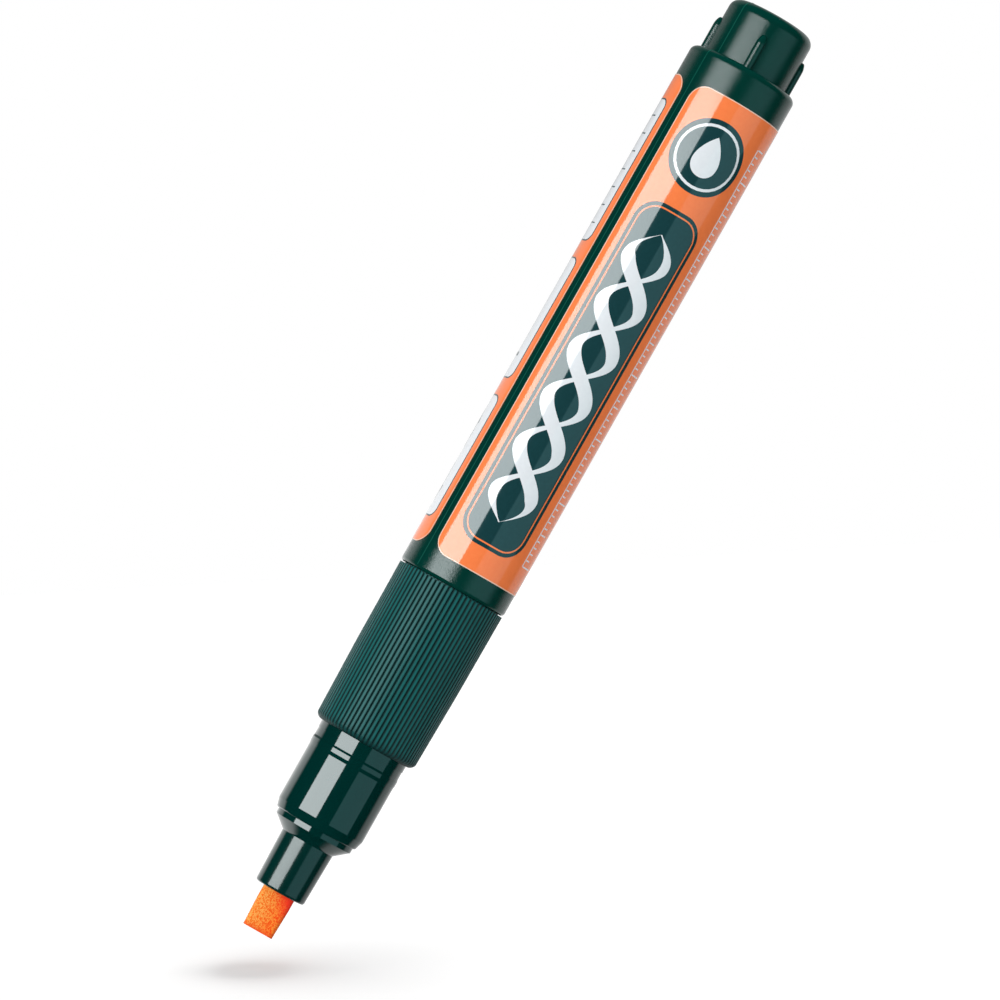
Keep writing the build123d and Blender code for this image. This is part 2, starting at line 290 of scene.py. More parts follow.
def etched_polypropylene():
    """Dull sheen, with a painted highlight on the crests and painted shade in the grooves."""
    material, tree, shader = surface(
        "moulded_polypropylene_etched", IOR=1.49, Specular_IOR_Level=0.28)
    place = add(tree, "ShaderNodeTexCoord").outputs["Object"]
    crest_sheen = crest_sheen_mask(tree, place)
    cloud_size = 4 * MM
    clouds = add(tree, "ShaderNodeTexNoise", {"Vector": place, "Scale": 1 / cloud_size, "Detail": 3})
    crest_sheen_colour = add(
        tree, "ShaderNodeMix",
        {0: clouds.outputs["Fac"], "A": linear("035A59"), "B": linear("046260")},
        data_type="RGBA",
    )
    # Painted light: the dark groove colour is painted shade, the pale crest colour a painted highlight.
    dye = add(
        tree, "ShaderNodeMix",
        {0: crest_sheen, "A": linear("012D2C"), "B": crest_sheen_colour.outputs["Result"]},
        data_type="RGBA",
    )
    gloss = add(tree, "ShaderNodeMapRange", {"Value": crest_sheen, "To Min": 0.6, "To Max": 0.45})
    etch_size = 0.1 * MM
    etch = add(tree, "ShaderNodeTexNoise", {"Vector": place, "Scale": 1 / etch_size, "Detail": 2})
    bump = add(
        tree, "ShaderNodeBump",
        {"Height": etch.outputs["Fac"], "Strength": 0.6, "Distance": 0.004 * MM},
    )
    tree.links.new(dye.outputs["Result"], shader.inputs["Base Color"])
    tree.links.new(gloss.outputs["Result"], shader.inputs["Roughness"])
    tree.links.new(bump.outputs["Normal"], shader.inputs["Normal"])
    return material


front.data.materials.append(etched_polypropylene())
etched_faces = [face for face in front.data.polygons if face.center.z > grip_foot - height_slack]
for face in etched_faces:
    face.material_index = 1
print(len(etched_faces), "faces of the front section are etched,", len(front.data.polygons), "in all")

# %% [markdown]
# ## Fibre full of ink
#
# The nib is polyester fibre, pressed into a bar and cut to a chisel. It is full of orange ink: pale
# fibre ends and darker pores between them. Across the bar the colour is painted light and shade:
# lighter on the lit left side, redder and darker on the shaded right. It also turns redder towards
# the upper corner and along the cut edge. Each of these is a soft step along one direction of the
# bar, so a few mixes after each other give the colour.

# %% Colour of the fibre
shade_left, shade_right = -2.0 * MM, 1.6 * MM
corner_slope, corner_low, corner_high = 0.7, 2.8 * MM, 6.0 * MM
edge_low, edge_high = 0.1 * MM, 0.8 * MM


def inked_fibre(tree, place, grain):
    """The colour of the fibre, from its grain, with painted light and shade across the bar and redder
    edges.
    """
    spot = add(tree, "ShaderNodeSeparateXYZ", {"Vector": place}).outputs
    speckle = add(
        tree, "ShaderNodeMapRange",
        {"Value": grain, "From Min": 0.42, "From Max": 0.58},
    )
    # Painted light and shade: a paler mix for the lit left side, a redder one for the shaded right.
    lit_side = add(
        tree, "ShaderNodeMix",
        {0: speckle.outputs["Result"], "A": linear("FB6A10"), "B": linear("FFB45A")},
        data_type="RGBA",
    )
    shaded_side = add(
        tree, "ShaderNodeMix",
        {0: speckle.outputs["Result"], "A": linear("FA4408"), "B": linear("FF9436")},
        data_type="RGBA",
    )
    side_shade = add(
        tree, "ShaderNodeMapRange",
        {"Value": spot["X"], "From Min": shade_left, "From Max": shade_right},
        interpolation_type="SMOOTHSTEP",
    )
    side_shaded = add(
        tree, "ShaderNodeMix",
        {0: side_shade.outputs["Result"], "A": lit_side.outputs["Result"], "B": shaded_side.outputs["Result"]},
        data_type="RGBA",
    )
    corner = add(
        tree, "ShaderNodeMath", {0: spot["Z"], 1: corner_slope, 2: spot["X"]},
        operation="MULTIPLY_ADD",
    )
    risen = add(
        tree, "ShaderNodeMapRange",
        {"Value": corner.outputs[0], "From Min": corner_low, "From Max": corner_high},
        interpolation_type="SMOOTHSTEP",
    )
    fibre = add(
        tree, "ShaderNodeMix",
        {0: risen.outputs["Result"], "A": side_shaded.outputs["Result"], "B": linear("F83420")},
        data_type="RGBA",
    )
    redder_edge = add(
        tree, "ShaderNodeMapRange",
        {"Value": spot["Z"], "From Min": edge_low, "From Max": edge_high, "To Min": 0.75, "To Max": 0},
    )
    colour = add(
        tree, "ShaderNodeMix",
        {0: redder_edge.outputs["Result"], "A": fibre.outputs["Result"], "B": linear("F2481A")},
        data_type="RGBA",
    )
    return colour.outputs["Result"]


print(f"the fibre gets redder over {(shade_right - shade_left) / MM:.1f} mm of its width")

# %% [markdown]
# ## Pressed fibre of the nib
#
# Pressed fibre is matt and grainy, so the same grain that speckles the colour also lifts the
# surface. It is drawn out a little along the bar, as the fibres are. The real fibres are a few
# hundredths of a millimetre thick, and the grain is coarser than that, so that it shows. The bar's
# edges are a little worn, which a bevel gives.

# %% Nib material
def pressed_fibre():
    """Matt, grainy orange fibre."""
    material, tree, shader = surface(
        "pressed_polyester_fibre_orange", Roughness=0.9, IOR=1.45, Specular_IOR_Level=0.2)
    place = add(tree, "ShaderNodeTexCoord").outputs["Object"]
    grain_size = 0.13 * MM
    drawn = add(tree, "ShaderNodeMapping", {"Vector": place, "Scale": (1, 1, 0.6)})
    grain = add(
        tree, "ShaderNodeTexNoise",
        {"Vector": drawn.outputs["Vector"], "Scale": 1 / grain_size, "Detail": 3, "Roughness": 0.6},
    )
    colour = inked_fibre(tree, place, grain.outputs["Fac"])
    bump = add(
        tree, "ShaderNodeBump",
        {"Height": grain.outputs["Fac"], "Strength": 0.7, "Distance": 0.08 * MM},
    )
    tree.links.new(colour, shader.inputs["Base Color"])
    tree.links.new(bump.outputs["Normal"], shader.inputs["Normal"])
    return material


dress(nodes["nib"], pressed_fibre())
worn_edge = nodes["nib"].modifiers.new("worn_edge", "BEVEL")
worn_edge.width = 0.16 * MM
worn_edge.segments = 3
worn_edge.limit_method = "ANGLE"
print(f"nib: edges worn by {worn_edge.width / MM:.2f} mm")

# %% [markdown]
# ## Laminated print
#
# The two films are printed plastic under a clear gloss laminate. The inks differ in colour only,
# and the laminate gives them all the same sharp gloss, so one function makes every ink. Offset
# print is never quite even, which shows as a faint mottle, and the film lies on the barrel with
# slight waves that make the edge of a reflection run a little unevenly.

# %% Print materials
def laminated_print(name, thin_ink, full_ink):
    """Ink under a gloss laminate, between a thin and a full layer of ink."""
    material, tree, shader = surface(name, IOR=1.5)
    place = add(tree, "ShaderNodeTexCoord").outputs["Object"]
    mottle_size = 0.5 * MM
    mottle = add(tree, "ShaderNodeTexNoise", {"Vector": place, "Scale": 1 / mottle_size, "Detail": 3})
    colour = add(
        tree, "ShaderNodeMix",
        {0: mottle.outputs["Fac"], "A": linear(thin_ink), "B": linear(full_ink)},
        data_type="RGBA",
    )
    gloss = add(
        tree, "ShaderNodeMapRange",
        {"Value": mottle.outputs["Fac"], "To Min": 0.06, "To Max": 0.11},
    )
    wave_size = 5 * MM
    waves = add(tree, "ShaderNodeTexNoise", {"Vector": place, "Scale": 1 / wave_size, "Detail": 0})
    bump = add(
        tree, "ShaderNodeBump",
        {"Height": waves.outputs["Fac"], "Strength": 1.0, "Distance": 0.015 * MM},
    )
    tree.links.new(colour.outputs["Result"], shader.inputs["Base Color"])
    tree.links.new(gloss.outputs["Result"], shader.inputs["Roughness"])
    tree.links.new(bump.outputs["Normal"], shader.inputs["Normal"])
    return material


orange_print = laminated_print("laminated_print_orange", "FF864C", "FB7C45")
green_print = laminated_print("laminated_print_dark_green", "1B4044", "16393C")
white_print = laminated_print("laminated_print_white", "EBEBEE", "E4E4E8")
pale_print = laminated_print("laminated_print_pale_orange", "F3CBB6", "EFC0A8")
for film in ("front_label", "rear_label"):
    dress(nodes[film], orange_print)
    print(film, "dressed with", orange_print.name)

# %% [markdown]
# ## The pieces inside
#
# The valve, its spring, the seals and the mixing ball are out of sight, but the part is used in
# other scenes too, where somebody may cut it open. Undyed polypropylene is milky, the seals are
# black nitrile rubber, the spring is drawn stainless wire with a fine grain, and the ball is
# ground steel with a faint cloud of handling marks.

# %% Materials of the inner pieces
def grained(name, dark, light, grain_size, roughness_range, relief, metallic=0.0, ior=1.5):
    """A material whose colour, gloss and relief all follow one fine grain."""
    material, tree, shader = surface(name, Metallic=metallic, IOR=ior)
    place = add(tree, "ShaderNodeTexCoord").outputs["Object"]
    grain = add(tree, "ShaderNodeTexNoise", {"Vector": place, "Scale": 1 / grain_size, "Detail": 4})
    colour = add(
        tree, "ShaderNodeMix",
        {0: grain.outputs["Fac"], "A": linear(dark), "B": linear(light)},
        data_type="RGBA",
    )
    smooth, rough = roughness_range
    gloss = add(
        tree, "ShaderNodeMapRange",
        {"Value": grain.outputs["Fac"], "To Min": smooth, "To Max": rough},
    )
    bump = add(
        tree, "ShaderNodeBump",
        {"Height": grain.outputs["Fac"], "Strength": 0.3, "Distance": relief},
    )
    tree.links.new(colour.outputs["Result"], shader.inputs["Base Color"])
    tree.links.new(gloss.outputs["Result"], shader.inputs["Roughness"])
    tree.links.new(bump.outputs["Normal"], shader.inputs["Normal"])
    return material


valve_plastic = grained(
    "moulded_polypropylene_natural", "DAD9D0", "E9E8E1", 1.5 * MM, (0.3, 0.4), 0.01 * MM, ior=1.49)
seal_rubber = grained(
    "moulded_nitrile_rubber_black", "151515", "232323", 0.15 * MM, (0.55, 0.75), 0.01 * MM, ior=1.52)
spring_steel = grained(
    "drawn_stainless_wire", "A9A6A0", "C4C2BC", 0.05 * MM, (0.2, 0.35), 0.003 * MM, metallic=1.0)
ball_steel = grained(
    "ground_steel_ball", "B4B3B1", "CBCAC8", 0.8 * MM, (0.1, 0.2), 0.001 * MM, metallic=1.0)
inner_finish = {
    "valve_body": valve_plastic,
    "valve_stem": valve_plastic,
    "spring_cage": valve_plastic,
    "valve_seal": seal_rubber,
    "barrel_seal": seal_rubber,
    "valve_spring": spring_steel,
    "mixing_ball": ball_steel,
}
for name, material in inner_finish.items():
    dress(nodes[name], material)
print("dressed", sum(len(node.data.materials) > 0 for node in nodes.values()), "of", len(nodes), "nodes")

# %% [markdown]
# ## A mesh for the spring
#
# Pressing the nib lifts the valve stem, and the spring on it gets shorter: its upper end stays
# under the cage, its lower end rises with the stem. A solid keeps its length, so a mesh of the
# same coil stands in for it here.

# %% Spring
coil = bpy.data.objects.new("valve_spring_coil", nodes["valve_spring"].data.copy())
coil.matrix_world = nodes["valve_spring"].matrix_world
bpy.context.scene.collection.objects.link(coil)
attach(coil, body)
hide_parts("valve_spring")
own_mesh(coil)

# %% [markdown]
# ## The line of the mould
#
# A mould opens in two halves, and where they met, a hair of plastic stands up along the barrel,
# over the shoulder and along the post. It shows in the bare strip between the films. The ridge
# follows the outline of the barrel, so its path is the outline itself: a point and the direction
# away from the plastic at each step.

# %% Path of the mould line
ridge_rise = 0.035 * MM
foot_round = 0.5 * MM
shoulder_round = 0.95 * MM
tail_round = 1.45 * MM
arc_steps = 8


def rounded_top(radius, top, rounding):
    """Points over a rounded edge: radius, height and outward direction in that plane."""
    turns = [pi / 2 * step / arc_steps for step in range(arc_steps + 1)]
    return [
        (radius - rounding * (1 - cos(turn)), top - rounding * (1 - sin(turn)), turn)
        for turn in turns
    ]


barrel_path = [(barrel_radius, barrel_foot + foot_round, 0.0)]
barrel_path += rounded_top(barrel_radius, shoulder, shoulder_round)
barrel_path += [(post_radius + ridge_rise, shoulder, pi / 2)]
post_path = [(post_radius, shoulder, 0.0)] + rounded_top(post_radius, tail, tail_round)
print("points along the mould line:", len(barrel_path), "on the barrel,", len(post_path), "on the post")

# %% [markdown]
# ## A hair of plastic
#
# Such a hair is called flash. It is painted a little paler than the barrel, a painted highlight for
# the light that the thin ridge catches. A few corners around each point of the path make its
# cross-section, and its root goes into the plastic, so no gap shows. A curve with a bevel would do
# for a round wire, but not for a ridge that keeps its foot on the barrel.

# %% Mould line
ridge_half = 0.09 * MM
ridge_crest = 0.03 * MM
ridge_root = 0.03 * MM
crease = radians(30)
# The flash's paler colour is a painted highlight.
highlit_flash = grained(
    "moulded_polypropylene_flash", "0A5044", "0E5A4C", 0.5 * MM, (0.2, 0.3), 0.002 * MM, ior=1.49)


def mesh_piece(name, mesh, material):
    """Turn a bmesh into an object that rides on the marker."""
    for face in mesh.faces:
        face.smooth = True
    for edge in mesh.edges:
        edge.smooth = edge.calc_face_angle(0.0) < crease
    data = bpy.data.meshes.new(name)
    mesh.to_mesh(data)
    mesh.free()
    piece = bpy.data.objects.new(name, data)
    bpy.context.scene.collection.objects.link(piece)
    data.materials.append(material)
    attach(piece, body)
    return piece


def mould_line(name, angle, path):
    """A fine ridge along a path at one angle around the axis."""
    section = [
        (-ridge_half, -ridge_root), (-ridge_crest, ridge_rise),
        (ridge_crest, ridge_rise), (ridge_half, -ridge_root),
    ]
    side = Vector((cos(angle), sin(angle), 0))
    mesh = bmesh.new()
    rings = []
    for radius, height, turn in path:
        away = around(angle, cos(turn), sin(turn))
        centre = around(angle, radius, height)
        rings.append([mesh.verts.new(centre + side * across + away * out) for across, out in section])
    for low, high in zip(rings, rings[1:]):
        for k in range(len(section)):
            following = (k + 1) % len(section)
            mesh.faces.new((low[k], low[following], high[following], high[k]))
    mesh.faces.new(rings[0])
    mesh.faces.new(rings[-1])
    bmesh.ops.recalc_face_normals(mesh, faces=mesh.faces)
    return mesh_piece(name, mesh, highlit_flash)


for side, turn in (("left", 0), ("right", pi)):
    on_barrel = mould_line("mould_line_barrel_" + side, seam_angle + turn, barrel_path)
    on_post = mould_line("mould_line_post_" + side, seam_angle + turn, post_path)
    print(on_barrel.name, "and", on_post.name)

# %% [markdown]
# ## Sheets of ink
#
# The print is drawn flat, in millimetres from the lower left corner of a film, and then wrapped
# around the barrel. Each shape is a patch: a grid of rows, which wraps evenly. A sheet has a lower
# and an upper skin and walls, so it is closed, and each layer of ink lies on the one below. Real
# ink is thinner still, but the layers need this much to stay apart in the renderer.

# %% Wrapping a flat drawing
ink_step = 0.006 * MM
film_wide = film_radius * (pi - film_gap) / MM
film_tall = (film_high.z - film_low.z) / MM
front_start = seam_angle + film_gap / 2
rear_start = front_start + pi


def on_film(start, across, height, layer):
    """The place of a flat point, on a layer of ink above a film that starts at an angle."""
    angle = start + across * MM / film_radius
    return around(angle, film_radius + layer * ink_step, film_low.z + height * MM)


def sheet_of_ink(name, patches, layer, start, material):
    """Closed sheets of ink; a patch is its rows of points and whether it closes on itself."""
    mesh = bmesh.new()
    for rows, closed in patches:
        under, over = [
            [[mesh.verts.new(on_film(start, u, v, skin)) for u, v in row] for row in rows]
            for skin in (layer, layer + 1)
        ]
        last = len(rows[0]) - 1
        for i in range(len(rows) if closed else len(rows) - 1):
            j = (i + 1) % len(rows)
            for k in range(last):
                mesh.faces.new((over[i][k], over[i][k + 1], over[j][k + 1], over[j][k]))
                mesh.faces.new((under[i][k], under[j][k], under[j][k + 1], under[i][k + 1]))
            mesh.faces.new((under[i][0], over[i][0], over[j][0], under[j][0]))
            mesh.faces.new((under[i][last], under[j][last], over[j][last], over[i][last]))
        if not closed:
            for i in (0, len(rows) - 1):
                for k in range(last):
                    mesh.faces.new((under[i][k], under[i][k + 1], over[i][k + 1], over[i][k]))
    bmesh.ops.recalc_face_normals(mesh, faces=mesh.faces)
    return mesh_piece(name, mesh, material)


print(f"film {film_wide:.1f} x {film_tall:.1f} mm, ink {ink_step / MM:.3f} mm a layer")

# %% [markdown]
# ## Filled shapes
#
# A box with rounded corners is enough for every field of the print: with the largest corners it is
# a capsule or a disc. Its rows lie closer together in the corners. No step across the barrel may
# be wide, or a flat face would cut into the round film below. The first row keeps a little width,
# because a row that shrinks to a point would have no faces.

# %% Filled shapes
widest_step = 0.28
corner_step = 0.2
least_steps = 12
least_side = 0.01
first_bend = 4


def row_between(left, right, height, columns):
    """Points of one level row."""
    return [(left + (right - left) * k / columns, height) for k in range(columns + 1)]


def rounded_patch(left, right, low, high, corner):
    """A box with rounded corners."""
    columns = max(2, int((right - left) / widest_step) + 1)
    steps = max(least_steps, int(corner / corner_step))
    lower = []
    for step in range(steps + 1):
        bend = radians(first_bend + (90 - first_bend) * step / steps)
        inset = corner * (1 - sin(bend))
        height = low + corner * (1 - cos(bend))
        lower.append(row_between(left + inset, right - inset, height, columns))
    straight_sides = high - low > 2 * corner + least_side
    mirrored = lower if straight_sides else lower[:-1]
    upper = [[(u, high + low - v) for u, v in row] for row in reversed(mirrored)]
    return lower + upper, False


def square_around(middle, half):
    """Left, right, low and high of a square around a point."""
    return middle[0] - half, middle[0] + half, middle[1] - half, middle[1] + half


print("rows in a disc of 5 mm:", len(rounded_patch(*square_around((0, 0), 2.5), 2.5)[0]))

# %% [markdown]
# ## Lines
#
# A line is a patch of even width. A frame runs around a box and closes on itself, and long steps
# get extra rows, for the same reason as above. A stroke follows any path, and its width, measured
# square to the path, may change on the way.

# %% Lines
quarter_steps = 8


def fill_long_steps(rows):
    """Add rows where two neighbours on a closed line are too far apart to wrap well."""
    filled = []
    for row, following in zip(rows, rows[1:] + rows[:1]):
        gap = abs(following[0][0] - row[0][0])
        parts = max(1, int(gap / widest_step) + 1)
        for part in range(parts):
            share = part / parts
            filled.append([
                (a[0] + (b[0] - a[0]) * share, a[1] + (b[1] - a[1]) * share)
                for a, b in zip(row, following)
            ])
    return filled


def border_patch(left, right, low, high, corner, width):
    """A closed line of even width just inside a box with rounded corners."""
    corners = (
        (right - corner, low + corner, -90),
        (right - corner, high - corner, 0),
        (left + corner, high - corner, 90),
        (left + corner, low + corner, 180),
    )
    rows = []
    for across, height, first in corners:
        for step in range(quarter_steps + 1):
            turn = radians(first + 90 * step / quarter_steps)
            rows.append([
                (across + reach * cos(turn), height + reach * sin(turn))
                for reach in (corner, corner - width)
            ])
    return fill_long_steps(rows), True


def stroke_patch(points, widths):
    """A stroke along flat points; each width is measured square to the path."""
    columns = max(2, int(max(widths) / widest_step) + 1)
    rows = []
    for i, (u, v) in enumerate(points):
        before = points[max(i - 1, 0)]
        after = points[min(i + 1, len(points) - 1)]
        run = Vector((after[0] - before[0], after[1] - before[1])).normalized()
        offsets = [widths[i] / 2 * (2 * k / columns - 1) for k in range(columns + 1)]
        rows.append([(u - run.y * offset, v + run.x * offset) for offset in offsets])
    return rows, False


def straight_patch(start, end, width, end_width=None):
    """A straight stroke, which may taper."""
    last = width if end_width is None else end_width
    spread = max(abs(end[0] - start[0]), abs(last - width) / 2)
    steps = max(2, int(spread / widest_step) + 1)
    shares = [i / steps for i in range(steps + 1)]
    points = [
        (start[0] + (end[0] - start[0]) * share, start[1] + (end[1] - start[1]) * share)
        for share in shares
    ]
    return stroke_patch(points, [width + (last - width) * share for share in shares])


print("rows in a level line of 5 mm:", len(straight_patch((0, 0), (5, 0), 0.2)[0]))

# %% [markdown]
# ## Fields of the front film
#
# The film gets a plain design of its own: a long dark panel and a round field above it. A pale line
# runs along the cut edge of the film, where its white base shows.

# %% Fields of the front film
film_corner, edge_width = 2.5, 0.14
panel_left, panel_right, panel_low, panel_high = 1.7, 11.9, 3.6, 56.2
panel_corner = 3.4
round_middle, round_radius = (6.8, 64.4), 5.4

film_edge = border_patch(0, film_wide, 0, film_tall, film_corner, edge_width)
sheet_of_ink("front_print_edge", [film_edge], 0, front_start, pale_print)
panel = rounded_patch(panel_left, panel_right, panel_low, panel_high, panel_corner)
disc = rounded_patch(*square_around(round_middle, round_radius), round_radius)
sheet_of_ink("front_print_fields", [panel, disc], 0, front_start, green_print)
print(f"dark panel {panel_right - panel_left:.1f} x {panel_high - panel_low:.1f} mm")

# %% [markdown]
# ## Waves and drop
#
# Two white waves plait on the panel, drawn with the thick and thin of a chisel nib. Such a nib
# gives its full width when it moves square to its edge and a thin line along it, so the width
# follows from the direction of the path. The second wave lies on a layer of its own, over the
# first. The round field holds a drop of ink in a ring.

# %% Waves and drop
wave_middle, wave_low, wave_high = 6.5, 7.6, 52.2
wave_length, wave_reach, wave_steps = 14.87, 2.75, 260
wave_taper_share, wave_end_share = 0.1, 0.08
nib_angle, nib_thin, nib_wide = radians(35), 0.4, 2.0
ring_radius, ring_width = 4.7, 0.4
drop_half, drop_tall, drop_below = 1.9, 6.0, 2.9
drop_swell, drop_taper, drop_steps, drop_columns = 1.3, 0.9, 36, 16


def chisel_wave(side):
    """A wave drawn by a chisel nib that keeps its angle; the side is 1 or -1."""
    points, widths = [], []
    for i in range(wave_steps + 1):
        share = i / wave_steps
        height = wave_low + (wave_high - wave_low) * share
        phase = 2 * pi * (height - wave_low) / wave_length
        points.append((wave_middle + side * wave_reach * sin(phase), height))
        direction = atan2(1.0, side * wave_reach * 2 * pi / wave_length * cos(phase))
        full = nib_thin + (nib_wide - nib_thin) * abs(sin(direction - nib_angle))
        ends = min(1.0, share / wave_taper_share, (1 - share) / wave_taper_share)
        widths.append(full * max(ends, wave_end_share))
    return stroke_patch(points, widths)


def drop_patch(middle, low, half, tall):
    """A drop of ink: round below, drawn out to a point above."""
    rows = []
    for i in range(drop_steps + 1):
        turn = radians(first_bend + (180 - 2 * first_bend) * i / drop_steps)
        reach = drop_swell * half * sin(turn) * cos(turn / 2) ** drop_taper
        height = low + tall * (1 - cos(turn)) / 2
        rows.append(row_between(middle - reach, middle + reach, height, drop_columns))
    return rows, False


ring = border_patch(*square_around(round_middle, ring_radius), ring_radius, ring_width)
drop = drop_patch(round_middle[0], round_middle[1] - drop_below, drop_half, drop_tall)
sheet_of_ink("front_print_white", [chisel_wave(1), ring, drop], 1, front_start, white_print)
sheet_of_ink("front_print_wave_over", [chisel_wave(-1)], 2, front_start, white_print)
print(f"{(wave_high - wave_low) / wave_length:.0f} turns of the plait, lines {nib_thin} to {nib_wide} mm")

# %% [markdown]
# ## Line inside the panel
#
# A thin line in the colour of the film runs inside the panel's outline. Its corners are smaller by
# the distance between the two, so that they stay even all the way round.

# %% Line inside the panel
inner_inset, inner_width = 0.55, 0.22

inner_line = border_patch(
    panel_left + inner_inset, panel_right - inner_inset,
    panel_low + inner_inset, panel_high - inner_inset,
    panel_corner - inner_inset, inner_width,
)
sheet_of_ink("front_print_inner_line", [inner_line], 1, front_start, orange_print)
print(len(inner_line[0]), "rows in the line inside the panel")

# %% [markdown]
# ## Scale
#
# A millimetre scale fills the right side of the film with fine, pale lines. A long line marks each
# centimetre and a middle one each half. The line that joins them stands a hair to the left of the
# others, so that no two sheets of one layer overlap.

# %% Scale
scale_left, scale_low, scale_high = 13.6, 4.0, 69.0
spine_width, tick_width, tick_start = 0.18, 0.2, 0.2
centimetre_reach, half_reach, millimetre_reach = 2.6, 1.8, 1.1

ticks = [straight_patch((scale_left, scale_low), (scale_left, scale_high), spine_width)]
for i in range(int(scale_high - scale_low) + 1):
    height = scale_low + i
    reach = centimetre_reach if i % 10 == 0 else half_reach if i % 5 == 0 else millimetre_reach
    ticks.append(
        straight_patch((scale_left + tick_start, height), (scale_left + reach, height), tick_width))
sheet_of_ink("front_print_scale", ticks, 0, front_start, white_print)
print(len(ticks), "lines of the scale")

# %% [markdown]
# ## Fields of the rear film
#
# The rear film carries three white boxes with a dark outline, and a dark capsule with dots that
# grow. Its right edge shows at the left of the photograph. An outline is a slightly larger dark box
# under the white one, which needs no frame of its own.

# %% Fields of the rear film
box_left, box_right = 10.4, film_wide - 1.5
box_heights = ((4.0, 22.5), (25.5, 44.0), (47.0, 68.9))
box_corner, rim_corner, rim_width = 1.2, 1.4, 0.22
capsule_left, capsule_right, capsule_low, capsule_high = 2.2, 7.8, 4.5, 68.4
dot_count, dot_across, dot_low, dot_spacing = 12, 5.0, 8.5, 5.05
dot_least, dot_growth = 0.5, 0.1

sheet_of_ink("rear_print_edge", [film_edge], 0, rear_start, pale_print)
rim_left, rim_right = box_left - rim_width, box_right + rim_width
dark_shapes = [
    rounded_patch(rim_left, rim_right, low - rim_width, high + rim_width, rim_corner)
    for low, high in box_heights
]
capsule_corner = (capsule_right - capsule_left) / 2
dark_shapes.append(
    rounded_patch(capsule_left, capsule_right, capsule_low, capsule_high, capsule_corner))
sheet_of_ink("rear_print_dark", dark_shapes, 0, rear_start, green_print)
white_shapes = [rounded_patch(box_left, box_right, low, high, box_corner) for low, high in box_heights]
for i in range(dot_count):
    radius = dot_least + dot_growth * i
    middle = (dot_across, dot_low + dot_spacing * i)
    white_shapes.append(rounded_patch(*square_around(middle, radius), radius))
sheet_of_ink("rear_print_white", white_shapes, 1, rear_start, white_print)
print(len(box_heights), "boxes and", dot_count, "dots")

# %% [markdown]
# ## Signs on the rear film
#
# The boxes hold plain signs for what a user does: arrows up and down for shaking, an arrow onto a
# line for pressing, and empty lines for a note. An arrow is two strokes, an even one for the shaft
# and one that tapers to a point for the head.

# %% Signs on the rear film
shaft_width, head_width, tip_width, head_tall = 0.7, 2.6, 0.08, 2.4
sign_across = (box_left + box_right) / 2
shake_aside, shake_up, shake_down = 2.2, (14.5, 20.5), (12.0, 6.0)
press_from, press_to, board_height, board_inset, board_width = 41.5, 31.0, 29.0, 2, 0.6
note_count, note_low, note_spacing, note_inset, note_width = 7, 49.6, 2.8, 1.2, 0.2


def arrow(across, tail_at, tip_at):
    """The shaft and the head of an arrow that points up or down."""
    head_at = tip_at - head_tall if tip_at > tail_at else tip_at + head_tall
    shaft = straight_patch((across, tail_at), (across, head_at), shaft_width)
    head = straight_patch((across, head_at), (across, tip_at), head_width, tip_width)
    return [shaft, head]


def level_line(height, inset, width):
    """A level line across a box, from one inset to the other."""
    return straight_patch((box_left + inset, height), (box_right - inset, height), width)


signs = [level_line(board_height, board_inset, board_width)]
signs += arrow(sign_across, press_from, press_to)
for aside in (-shake_aside, shake_aside):
    signs += arrow(sign_across + aside, *shake_up)
    signs += arrow(sign_across + aside, *shake_down)
for i in range(note_count):
    signs.append(level_line(note_low + note_spacing * i, note_inset, note_width))
sheet_of_ink("rear_print_signs", signs, 2, rear_start, green_print)
print(len(signs), "strokes of the signs")

# %% [markdown]
# ## The camera
#
# The photograph was taken with a long lens from well below the middle of the marker, and the
# picture was turned, so the tail points up and to the right. The camera is aimed at the point of
# the axis that lies in the middle of the picture and then rolled by the same angle.

# %% Camera
picture_scale = 0.13617 * MM
picture_side = 1000
camera_distance = 0.85
camera_height = 42 * MM
aim = Vector((-0.21 * MM, 0, 67.2 * MM))
roll = radians(29.55)

eye = Vector((aim.x, -camera_distance, camera_height))
ahead = (aim - eye).normalized()
level = ahead.cross(Vector((0, 0, 1))).normalized()
upright = level.cross(ahead)
right = level * cos(roll) + upright * sin(roll)
up = upright * cos(roll) - level * sin(roll)
camera = bpy.data.objects.new("camera", bpy.data.cameras.new("camera"))
camera.data.lens = camera.data.sensor_width * camera_distance / (picture_side * picture_scale)
camera.data.clip_start = 0.05
camera.data.clip_end = 20
camera.matrix_world = Matrix.Translation(eye) @ Matrix((right, up, -ahead)).transposed().to_4x4()
bpy.context.scene.collection.objects.link(camera)
bpy.context.scene.camera = camera
print(f"lens {camera.data.lens:.0f} mm at {camera_distance:.2f} m")

# %% [markdown]
# ## Light
#
# Four boxes light the marker. The bright one stands to the left and shows in the gloss as a long
# strip, the dim one to the right shows as a faint broad panel, a small one above gives the shadow
# on the floor, and one behind lights the side that the camera doesn't see. The last two would put
# strips into the gloss that the photograph lacks, so reflections leave them out.

# %% Boxes of light
top_lean = radians(4)


def light_box(name, middle, direction, distance, width, tall, radiance, tint):
    """A flat box of light that faces a point; a radiance of 1 is white on the screen."""
    lamp = bpy.data.lights.new(name, "AREA")
    lamp.color = linear(tint)[:3]
    lamp.shape = "RECTANGLE"
    lamp.size = width
    lamp.size_y = tall
    lamp.energy = radiance * pi * width * tall
    box = bpy.data.objects.new(name, lamp)
    turn = direction.to_track_quat("Z", "Y").to_matrix().to_4x4()
    box.matrix_world = Matrix.Translation(middle + direction * distance) @ turn
    box.visible_camera = False
    bpy.context.scene.collection.objects.link(box)
    print(f"{name}: {width} x {tall} m, {lamp.energy:.1f} W")
    return box


